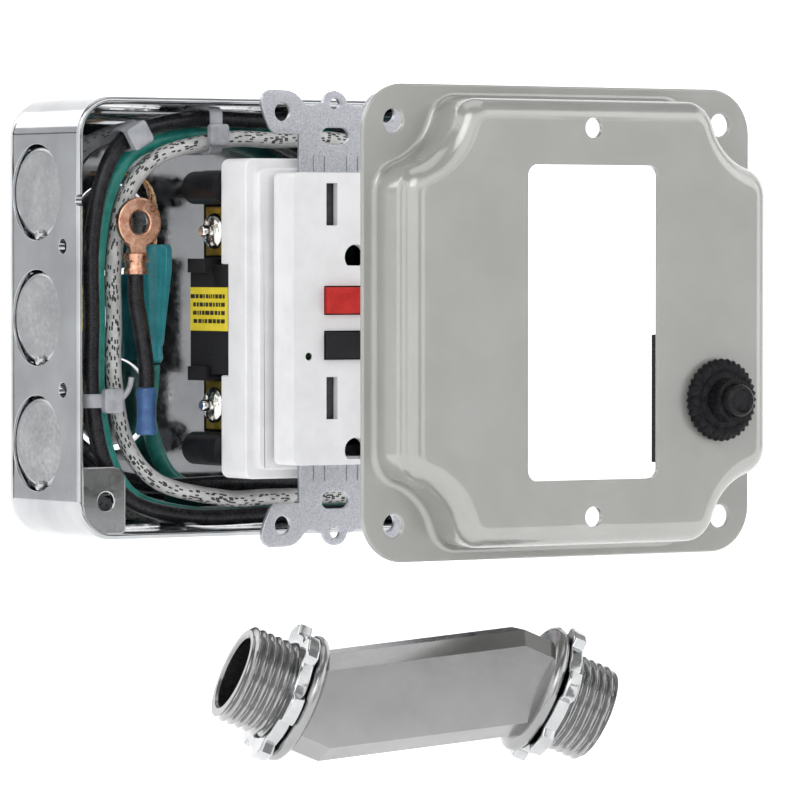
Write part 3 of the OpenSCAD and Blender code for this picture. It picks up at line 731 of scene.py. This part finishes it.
def strap():
    tip = 52.0
    right = [(9.6, 42), (16.0, 42), (17.6, 43.4), (18.8, 45.8), (19.7, 48.4), (19.75, 50), (19.1, 51.2),
             (17.6, 52), (15, 52), (12.4, 51.9), (10.6, 51.3), (9.3, 50.2), (8.2, 48.9), (7.2, 48.4),
             (5.6, 48.6),
             (4.2, 49.2)]
    top = [(3.4 * math.cos(math.radians(a)), tip - 3.4 + 3.4 * math.sin(math.radians(a)))
           for a in range(10, 171, 16)]
    half = right + top + [(-x, z) for x, z in reversed(right)]
    upper = [(15, 29.5), (15, 32), (9.6, 33.2)] + half + [(-9.6, 33.2), (-15, 32), (-15, 29.5)]
    outline = [(x * MM, z * MM) for x, z in upper + [(-x, -z) for x, z in upper]]
    holes = [round_square(12.4 * MM, 29 * MM, 0.6 * MM, 2)]
    for s in (-1, 1):
        holes.append([(x, z + s * DEVICE_SCREW_Z) for x,
                      z in round_square(3.7 * MM, 1.9 * MM, 1.85 * MM, 6)])
        holes.append(circle(0, s * (tip - 3) * MM, 1.3 * MM, 20))
        for x in (-14.2, 14.2):
            holes.append(circle(x * MM, s * (tip - 5) * MM, 2.1 * MM, 24))
    mesh = plate("strap", [outline] + holes, strap_lo.y, strap_hi.y - strap_lo.y, 0.25 * MM)
    scores = []
    for s in (-1, 1):
        for x in (-6, -3, 3, 6):
            scores.append(prism([(x0 * MM, z0 * MM) for x0, z0 in
                                 [(x - 0.2, s * 33.6), (x + 0.2, s * 33.6), (x + 0.2, s * 37.2),
                                  (x - 0.2, s * 37.2)]],
                                strap_lo.y - 0.5 * MM, strap_lo.y + 0.25 * MM))
    add_object("mounting_strap_fine", cut(mesh, scores), "receptacle", "strap",
               ("mounting_strap",),
               smooth_angle=45)


def terminal_screws():
    plate_y = (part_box("upper_line_screw")[0].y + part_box("upper_line_screw")[1].y) / 2
    for name, side, z in (("upper_line", -1, 20), ("lower_line", -1, -20), ("upper_neutral", 1, 20),
                          ("lower_neutral", 1, -20)):
        place = facing((side * 19.45 * MM, plate_y, z * MM), (side, 0, 0))
        m = MM
        profile = [(1.85 * m, -4.4 * m), (1.85 * m, 0), (4.0 * m, 0), (4.15 * m, 0.25 * m),
                   (4.15 * m, 1.1 * m),
                   (3.9 * m, 1.55 * m), (3.3 * m, 2.1 * m), (2.5 * m, 2.45 * m), (1.4 * m, 2.62 * m),
                   (1.3 * m, 2.7 * m), (1.25 * m, 4.2 * m), (1.0 * m, 4.5 * m)]
        head = lathe_mesh("head", profile, place, 44)
        slots = []
        for turn in (0, 90):
            spin = place @ Matrix.Rotation(math.radians(turn + 20), 4, "Z")
            for s in (-1, 1):
                corners = [(-0.55, s * 1.5), (0.55, s * 1.5), (0.55, s * 3.5), (-0.55, s * 3.5)]
                rings = [[(x * m, y * m, h * m) for x, y in corners] for h in (1.3, 4)]
                slots.append(loft_mesh("slot", rings, place=spin))
        node_name = name + "_screw"
        add_object(node_name + "_fine", cut(head, slots), node_name, "nickel", (node_name,),
                   bevel=0.12 * m)


def receptacle():
    strap()
    refined("face_plate", "receptacle", "white", 0.45, 3)
    refined("middle_housing", "receptacle", "white", 0.4, 3)
    refined("rear_housing", "receptacle", "black", 0.35, 3)
    refined("housing_screws", "receptacle", "dark_steel", 0.25)
    refined("line_plates", "receptacle", "brass", 0.2)
    refined("neutral_plates", "receptacle", "nickel", 0.2)
    refined("reset_button", "reset_button", "red", 0.5, 3)
    refined("test_button", "test_button", "black", 0.5, 3)
    refined("upper_shutter", "upper_shutter", "shutter", 0.2)
    refined("lower_shutter", "lower_shutter", "shutter", 0.2)
    refined("circuit_board", "receptacle", "board", 0.15)
    refined("sensor_coil", "receptacle", "winding", 0.8, 3)
    refined("trip_solenoid", "receptacle", "winding", 0.6, 3)
    terminal_screws()
    # Rows of bars stand in for the label's print
    lo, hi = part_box("rating_label")
    refined("rating_label", "receptacle", "label", 0.05, 1)
    bars = []
    for row in range(4):
        z = hi.z - (1.6 + 1.9 * row) * MM
        y = lo.y + 1.2 * MM
        while y < hi.y - 1.6 * MM:
            step = random.uniform(0.5, 1.9) * MM
            corners = [(y, z), (y + step, z), (y + step, z - 0.95 * MM), (y, z - 0.95 * MM)]
            bars.append(loft_mesh("bar", [[(x, a, b) for a, b in corners]
                                          for x in (lo.x - 0.02 * MM, lo.x + 0.08 * MM)]))
            y += step + random.uniform(0.25, 0.45) * MM
    add_object("label_bars", joined("bars", bars), "receptacle", "ink")


# ---------- Cover ----------

NOTCH_R = 15 * MM
NOTCH_FILLET = 6.5 * MM


def raised_outline(inset):
    """The square with its four corners hollowed for the cover screws, moved inwards by inset."""
    h, r, steps = RAISED_HALF, NOTCH_FILLET, 8
    away = h - math.sqrt(NOTCH_R ** 2 + 2 * NOTCH_R * r)
    lean = math.atan2(h - away, r)
    quarter = arc(h - r, away, r - inset, 0, lean, steps)
    quarter += arc(h, h, NOTCH_R + inset, lean + math.pi, 1.5 * math.pi - lean, 2 * steps)[1:-1]
    quarter += arc(away, h - r, r - inset, math.pi / 2 - lean, math.pi / 2, steps)
    points = []
    for turn in range(4):
        a = math.pi / 2 * turn
        points += [(x * math.cos(a) - z * math.sin(a), x * math.sin(a) + z * math.cos(a)) for x,
                   z in quarter]
    return points


def cover():
    flange_front = COVER_BACK - COVER_T
    foot = 1.4 * MM
    brow = 4.6 * MM
    angles = [math.radians(90 * k / 8) for k in range(9)]

    def skin(inward):
        low, high = foot + inward, brow - inward
        rings = [(-foot + low * math.sin(a),
                  flange_front + inward - low * (1 - math.cos(a))) for a in angles]
        rings += [(brow - high * math.cos(a), COVER_FACE + brow - high * math.sin(a)) for a in angles]
        return [[(x, y, z) for x, z in raised_outline(inset)] for inset, y in rings]

    mesh = loft_mesh("raised", list(reversed(skin(COVER_T * 0.98))) + skin(0))
    cutters = [prism(round_square(*WINDOW_HALF, 2.4 * MM, 8), COVER_FACE - 5 * MM, COVER_FACE + 4 * MM)]
    for z in (-DEVICE_SCREW_Z, DEVICE_SCREW_Z):
        cutters.append(rod((0, COVER_FACE - 4 * MM, z), (0, 1, 0), 2.2 * MM, 8 * MM))
    cutters.append(rod((BREAKER.x, COVER_FACE - 4 * MM, BREAKER.z), (0, 1, 0), 4.8 * MM, 8 * MM))
    add_object("cover_raised", cut(mesh, cutters), "cover", "cover", ("cover_plate",),
               smooth_angle=40, bevel=0.3 * MM, segments=3)

    loops = [round_square(HALF, HALF, 10 * MM, 12), raised_outline(COVER_T * 0.5)]
    for x in (-COVER_SCREW, COVER_SCREW):
        for z in (-COVER_SCREW, COVER_SCREW):
            loops.append(circle(x, z, 2.5 * MM, 32))
    flange = plate("flange", loops, flange_front, COVER_T, 0.35 * MM)
    add_object("cover_flange", flange, "cover", "cover", smooth_angle=50)


def thread_mesh(place, major, depth, pitch, x0, x1, bore, sides=64, per_turn=8):
    """A tube along Z whose outside carries a helical thread, from x0 to x1."""
    count = int((x1 - x0) / pitch * per_turn)
    rings = []
    for i in range(count + 1):
        z = x0 + (x1 - x0) * i / count
        fade = min(1, (x1 - z) / (0.6 * pitch), 1)
        ring = []
        for k in range(sides):
            a = 2 * math.pi * k / sides
            phase = (z / pitch - k / sides) % 1.0
            height = abs(2 * phase - 1)
            crest = min(1.0, max(0.0, 1.45 * height - 0.2))
            r = major - depth * (1 - crest) - 0.5 * depth * (1 - fade)
            ring.append(Vector((r * math.cos(a), r * math.sin(a), z)))
        rings.append(ring)
    inner = lathe([(major - depth - 0.1 * MM, x1 + 0.01 * MM), (bore + 0.5 * MM, x1 + 0.02 * MM),
                   (bore, x1 - 0.5 * MM), (bore, x0)], sides)
    return loft_mesh("thread", rings + inner + [rings[0]], (False, False), place)


def breaker():
    centre = Vector((BREAKER.x, COVER_FACE, BREAKER.z))
    out = facing(centre, (0, -1, 0))
    m = MM
    collar = thread_mesh(out, 4.7 * m, 0.35 * m, 0.8 * m, 2.2 * m, 6.6 * m, 3.62 * m, 48, 8)
    add_object("breaker_collar", collar, "cover", "breaker", smooth_angle=50)
    refined("breaker_body", "cover", "breaker", 0.5, 3)
    refined("breaker_terminals", "cover", "brass", 0.2)
    # A moulded nut with a coarse serrated edge and a domed, ridged front
    sides = 144
    rings = []
    for r, z, bite in ((4.78, 0.02, 0), (8.3, 0.02, 0.5), (8.9, 0.5, 1), (9.05, 1.4, 1), (8.8, 2.2, 1),
                       (8.0, 2.75, 0.6), (7.0, 3.0, 0.2), (6.2, 2.6, 0), (5.7, 2.95, 0), (4.78, 3.0, 0)):
        ring = []
        for k in range(sides):
            a = 2 * math.pi * k / sides
            tooth = 0.32 * bite * math.cos(36 * a)
            reach = (r - 0.32 * bite + tooth) * m
            ring.append(Vector((reach * math.cos(a), reach * math.sin(a), z * m + 0.05 * m)))
        rings.append(ring)
    nut = loft_mesh("nut", rings + [rings[0]], (False, False), out)
    add_object("breaker_nut_fine", nut, "breaker_nut", "rubber", ("breaker_nut",),
               smooth_angle=55)
    profile = [(3.45, -3), (3.5, 8.2), (3.3, 8.75), (2.9, 9.0), (2.6, 8.9), (2.35, 8.45), (0.02, 8.3)]
    button = lathe_mesh("button", [(r * m, z * m) for r, z in profile], out, 48)
    add_object("breaker_button_fine", button, "breaker_button", "breaker",
               ("breaker_button",),
               smooth_angle=50)


# ---------- Offset nipple ----------

def nipple_frame():
    locknuts = [sum(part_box(n), Vector()) / 2 for n in ("left_locknut", "right_locknut")]
    middle = (locknuts[0] + locknuts[1]) / 2
    turn = Matrix.Rotation(-NIPPLE_TURN, 4, "Z") @ Matrix.Rotation(NIPPLE_TILT, 4, "Y")
    return Matrix.Translation(middle) @ turn


def slice_ring(x, z):
    """The eight corners of the slanted block's section, at one place along the nipple."""
    w, h = (size / 2 for size in BLOCK_SIZE)
    b, c = BLOCK_BEVEL
    corners = [(-w, -h + c), (-w + b, -h), (w - b, -h), (w, -h + c), (w, h - c), (w - b, h), (-w + b, h),
               (-w, h - c)]
    return [Vector((x, a, z + c)) for a, c in corners]


def nipple():
    base = nipple_frame()
    m = MM
    # The slanted block: the skin of two straight ends and the slope between them
    work = bmesh.new()
    for x, z in ((-NECK_X, -NIPPLE_RISE), (-NECK_X + NECK_STRAIGHT, -NIPPLE_RISE),
                 (NECK_X - NECK_STRAIGHT, NIPPLE_RISE), (NECK_X, NIPPLE_RISE)):
        for point in slice_ring(x, z):
            work.verts.new(base @ point)
    bmesh.ops.convex_hull(work, input=work.verts)
    bmesh.ops.dissolve_limit(work, angle_limit=math.radians(1), verts=work.verts, edges=work.edges)
    bmesh.ops.recalc_face_normals(work, faces=work.faces)
    block = bpy.data.meshes.new("block")
    work.to_mesh(block)
    work.free()
    bores = []
    for s in (-1, 1):
        start = base @ Vector((s * (NECK_X - 8 * m), 0, s * NIPPLE_RISE))
        bores.append(rod(start, base.to_3x3() @ Vector((s, 0, 0)), BORE_R, 12 * m, 56))
    slope = (Vector((NECK_X - 6 * m, 0, NIPPLE_RISE)) - Vector((-NECK_X + 6 * m, 0, -NIPPLE_RISE)))
    start = base @ Vector((-NECK_X + 6 * m, 0, -NIPPLE_RISE))
    bores.append(rod(start, base.to_3x3() @ slope, 6.8 * m, slope.length, 56))
    add_object("nipple_block", cut(block, bores), "nipple", "zinc", ("offset_nipple",),
               smooth_angle=25,
               bevel=0.5 * m, segments=3)
    collars = []
    threads = []
    for s in (-1, 1):
        place = base @ facing((s * NECK_X, 0, s * NIPPLE_RISE), (s, 0, 0))
        profile = [(BORE_R, -1.2 * m), (11 * m, -1.4 * m), (12.8 * m, -1.0 * m), (13.9 * m, -0.3 * m),
                   (14.2 * m, 0.5 * m), (14.0 * m, 1.3 * m), (13.2 * m, 1.95 * m), (10 * m, 2.0 * m),
                   (BORE_R, 2.0 * m)]
        collars.append(lathe_mesh("collar", profile, place, 72, hollow=True))
        threads.append(thread_mesh(place, THREAD_R, 0.95 * m, 1.81 * m, 1.5 * m, THREAD_L - 0.02 * m,
                                   BORE_R, 72, 10))
    add_object("nipple_collars", joined("collars", collars), "nipple", "zinc", smooth_angle=50)
    add_object("nipple_threads", joined("threads", threads), "nipple", "zinc", smooth_angle=40)
    for name, s in (("left_locknut", -1), ("right_locknut", 1)):
        centre = base @ Vector((s * (NECK_X + 3.8 * m), 0, s * NIPPLE_RISE))
        axis = base.to_3x3() @ Vector((s, 0, 0))
        outline = []
        for lug in range(6):
            for a, r in ((-21, 13.3), (-15, 13.3), (-11.5, 15.2), (-4, 15.4), (4, 15.4), (11.5, 15.2),
                         (15, 13.3),
                         (21, 13.3)):
                t = math.radians(60 * lug + a)
                outline.append((r * m * math.cos(t), r * m * math.sin(t)))
            outline.append((13.4 * m * math.cos(math.radians(60 * lug + 30)),
                            13.4 * m * math.sin(math.radians(60 * lug + 30))))
        ring = plate(name, [outline, circle(0, 0, 10.75 * m, 56)], -1.5 * m, 3 * m, 0.55 * m)
        ring.transform(Matrix.Rotation(math.radians(-90), 4, "X"))
        aim = Vector((0, 0, 1)).rotation_difference(axis).to_matrix().to_4x4()
        ring.transform(Matrix.Translation(centre) @ aim)
        add_object(name + "_fine", ring, name, "locknut", (name,), smooth_angle=50)


# ---------- CAD nodes that keep their shape ----------

def plain_nodes():
    kept = {"line_contacts": "brass", "neutral_contacts": "brass", "ground_contacts": "brass",
            "solenoid_plunger": "dark_steel", "strap_ground_screw": "green_screw",
            "indicator_light": "lamp"}
    for name, mat in kept.items():
        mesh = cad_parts[name].data
        mesh.materials.clear()
        mesh.materials.append(MAT[mat])


# ---------- Camera, light and floor ----------

def stage_card(name, centre, size, aim, colour):
    """A flat card that only reflections see."""
    corners = [(-0.5, -0.5, 0), (0.5, -0.5, 0), (0.5, 0.5, 0), (-0.5, 0.5, 0)]
    card = bpy.data.objects.new(name, new_mesh(name, corners, [(0, 1, 2, 3)]))
    bpy.context.scene.collection.objects.link(card)
    look = (Vector(aim) - Vector(centre)).to_track_quat("Z", "Y").to_matrix().to_4x4()
    card.matrix_world = Matrix.Translation(centre) @ look @ Matrix.Diagonal((*size, 1, 1))
    paint = bpy.data.materials.new(name)
    paint.use_nodes = True
    shader = paint.node_tree.nodes["Principled BSDF"]
    shader.inputs["Base Color"].default_value = (*colour, 1)
    shader.inputs["Roughness"].default_value = 0.9
    card.data.materials.append(paint)
    card.visible_camera = False
    card.visible_shadow = False
    card.visible_diffuse = False
    card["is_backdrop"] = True


def area_light(name, centre, size, power, aim):
    lamp = bpy.data.lights.new(name, "AREA")
    lamp.shape = "RECTANGLE"
    lamp.size, lamp.size_y = size
    lamp.energy = power
    holder = bpy.data.objects.new(name, lamp)
    bpy.context.scene.collection.objects.link(holder)
    holder.location = centre
    holder.rotation_euler = (Vector(aim) - Vector(centre)).to_track_quat("-Z", "Y").to_euler()


def studio():
    middle = Vector((-3, -99, -18)) * MM
    azimuth, pitch, distance = math.radians(-33.46), math.radians(1.4), 1.3
    back = Vector((math.sin(azimuth) * math.cos(pitch), -math.cos(azimuth) * math.cos(pitch),
                   math.sin(pitch)))
    camera = bpy.data.cameras.new("camera")
    camera.lens = 261
    camera.sensor_width = 36
    camera.clip_start = 0.05
    holder = bpy.data.objects.new("camera", camera)
    bpy.context.scene.collection.objects.link(holder)
    holder.location = middle + back * distance
    holder.rotation_euler = (-back).to_track_quat("-Z", "Y").to_euler()
    bpy.context.scene.camera = holder

    # A pale bowl: a flat floor that curves up into the wall, so no horizon shows
    floor_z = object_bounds()[0].z - 0.03
    profile = [(0.02, 0), (1.9, 0)] + [(1.9 + 0.9 * math.sin(math.radians(a)),
                                        0.9 * (1 - math.cos(math.radians(a))))
                                       for a in range(10, 91, 10)] + [(2.8, 2.6)]
    verts, faces = loft(lathe(profile, 64), True, (True, False))
    floor = bpy.data.objects.new("floor", new_mesh("floor", verts, faces))
    bpy.context.scene.collection.objects.link(floor)
    floor.location.z = floor_z
    floor.data.shade_smooth()
    paint = bpy.data.materials.new("floor")
    paint.use_nodes = True
    shader = paint.node_tree.nodes["Principled BSDF"]
    shader.inputs["Base Color"].default_value = (0.86, 0.86, 0.86, 1)
    shader.inputs["Roughness"].default_value = 0.85
    shader.inputs["Specular IOR Level"].default_value = 0.1
    shader.inputs["Emission Color"].default_value = (1, 1, 1, 1)
    shader.inputs["Emission Strength"].default_value = 0.50
    floor.data.materials.append(paint)
    floor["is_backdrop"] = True

    world = bpy.data.worlds.new("studio")
    world.use_nodes = True
    world.node_tree.nodes["Background"].inputs["Color"].default_value = (1, 1, 1, 1)
    world.node_tree.nodes["Background"].inputs["Strength"].default_value = 0.30
    bpy.context.scene.world = world
    area_light("key", (-1.0, -1.1, 1.1), (0.9, 0.9), 5, middle)
    area_light("fill", (1.2, -1.0, 0.5), (0.8, 1.2), 1.5, middle)
    area_light("top", (0.1, 0.1, 1.4), (1.2, 1.2), 4, middle)
    area_light("rear", (-0.6, 1.2, 0.8), (1.0, 0.8), 2, middle)
    dark, pale = (0.012, 0.012, 0.014), (0.42, 0.42, 0.425)
    cards = (
        ("wall_panel", (-0.70, 1.1, 0.0), (0.55, 0.75), (0.55, 0.555, 0.56)),
        ("wall_edge", (-0.40, 1.1, 0.0), (0.12, 0.9), dark),
        ("wall_line", (-0.64, 1.0, 0.16), (0.8, 0.03), dark),
        ("left_strip", (-1.35, 0.25, 0.1), (0.16, 1.2), dark),
        ("left_front_strip", (-1.35, -0.55, 0.0), (0.10, 0.9), dark),
        ("front_panel", (-0.12, -1.55, -0.05), (0.42, 0.7), (0.26, 0.26, 0.26)),
        ("front_right_panel", (0.85, -1.3, -0.15), (0.6, 0.6), pale),
        ("front_right_strip", (0.55, -1.45, 0.35), (0.9, 0.07), dark),
        ("low_strip", (0.0, -0.9, -0.125), (1.6, 0.05), dark),
        ("right_strip", (1.3, -0.3, 0.0), (0.2, 1.3), dark),
        ("rear_strip", (0.9, 1.1, 0.1), (0.25, 0.9), dark))
    for name, centre, size, colour in cards:
        stage_card(name, centre, size, middle, colour)
    view = bpy.context.scene.view_settings
    view.view_transform = "Standard"
    view.look = "None"


# ---------- Assembly ----------

box_shell()
ear("box_ear_lower", 1)
ear("box_ear_upper", -1)
knockouts()
wires()
ring_lug()
small_parts()
cable_ties()
receptacle()
cover()
breaker()
nipple()
plain_nodes()
studio()
